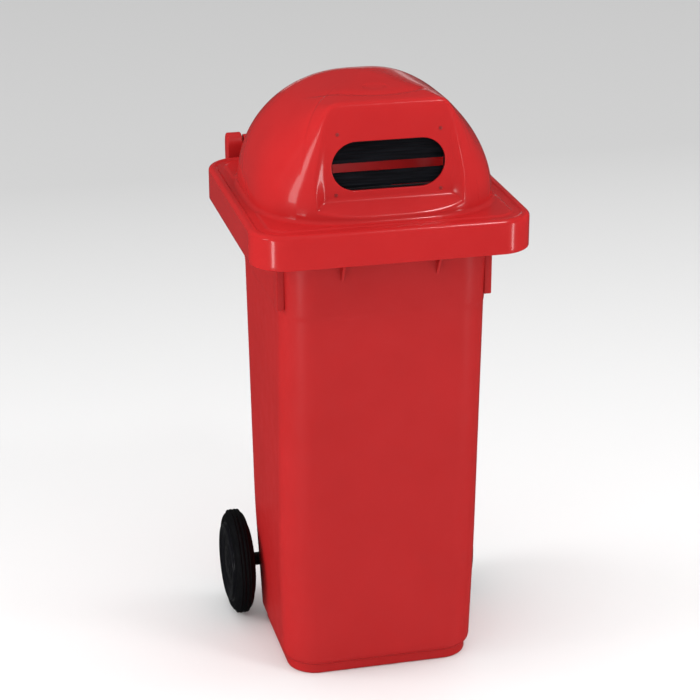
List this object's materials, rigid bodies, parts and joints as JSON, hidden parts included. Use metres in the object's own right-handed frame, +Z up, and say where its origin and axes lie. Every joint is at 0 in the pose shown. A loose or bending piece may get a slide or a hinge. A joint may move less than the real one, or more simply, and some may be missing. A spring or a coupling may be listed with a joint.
{
  "type": "dog waste bin",
  "caption": "Wheeled plastic dog waste bin: tapered tub with a rear axle, hinged domed lid and a rubber-lipped feed slot in the dome.",
  "frame": {"origin": "centre of the flat underside of the tub's foot, on the ground", "axes": "+Z up, the slot faces -Y, the hinge and wheels are on the +Y side, +X to the right seen from the front"},
  "size_m": [0.488, 0.532, 1.087],
  "materials": {
    "tub_plastic": "fine moulded gloss, red polyethylene",
    "lid_plastic": "smooth moulded gloss, red polyethylene",
    "black_plastic": "satin black",
    "hub_plastic": "satin black, turned rings",
    "lip_rubber": "ribbed matte rubber",
    "tyre_rubber": "solid rubber",
    "zinc_steel": "zinc plated",
    "rivet_metal": "plain",
    "bush_plastic": "plain nylon"
  },
  "bodies": {
    "bin": {"body": "tub_plastic", "hinge_pin_left": "black_plastic", "hinge_pin_right": "black_plastic", "axle": "zinc_steel", "axle_spacer_left": "black_plastic", "axle_spacer_right": "black_plastic", "retaining_ring_left": "zinc_steel", "retaining_ring_right": "zinc_steel"},
    "lid": {"lid": "lid_plastic", "lip_carrier": "black_plastic", "upper_rivets": "rivet_metal", "lower_rivets": "rivet_metal", "rivet_washers": "rivet_metal"},
    "upper_lip": {"lip_upper": "lip_rubber"},
    "lower_lip": {"lip_lower": "lip_rubber"},
    "left_wheel": {"wheel_hub_left": "hub_plastic", "tyre_left": "tyre_rubber", "wheel_bush_left": "bush_plastic", "hub_cap_left": "black_plastic"},
    "right_wheel": {"wheel_hub_right": "hub_plastic", "tyre_right": "tyre_rubber", "wheel_bush_right": "bush_plastic", "hub_cap_right": "black_plastic"}
  },
  "joints": [
    {"name": "lid_hinge", "type": "hinge", "parent": "bin", "child": "lid", "pos_m": [0, 0.262, 0.896], "axis": [-1, 0, 0], "range_deg": [0, 220]},
    {"name": "upper_lip_bend", "type": "hinge", "parent": "lid", "child": "upper_lip", "pos_m": [0, -0.165, 1.014], "axis": [1, 0, 0], "range_deg": [0, 60], "stiffness_Nm_per_rad": 0.4},
    {"name": "lower_lip_bend", "type": "hinge", "parent": "lid", "child": "lower_lip", "pos_m": [0, -0.165, 0.924], "axis": [-1, 0, 0], "range_deg": [0, 60], "stiffness_Nm_per_rad": 0.4},
    {"name": "left_wheel_spin", "type": "hinge", "parent": "bin", "child": "left_wheel", "pos_m": [-0.215, 0.131, 0.1], "axis": [1, 0, 0], "continuous": true},
    {"name": "right_wheel_spin", "type": "hinge", "parent": "bin", "child": "right_wheel", "pos_m": [0.215, 0.131, 0.1], "axis": [1, 0, 0], "continuous": true}
  ]
}
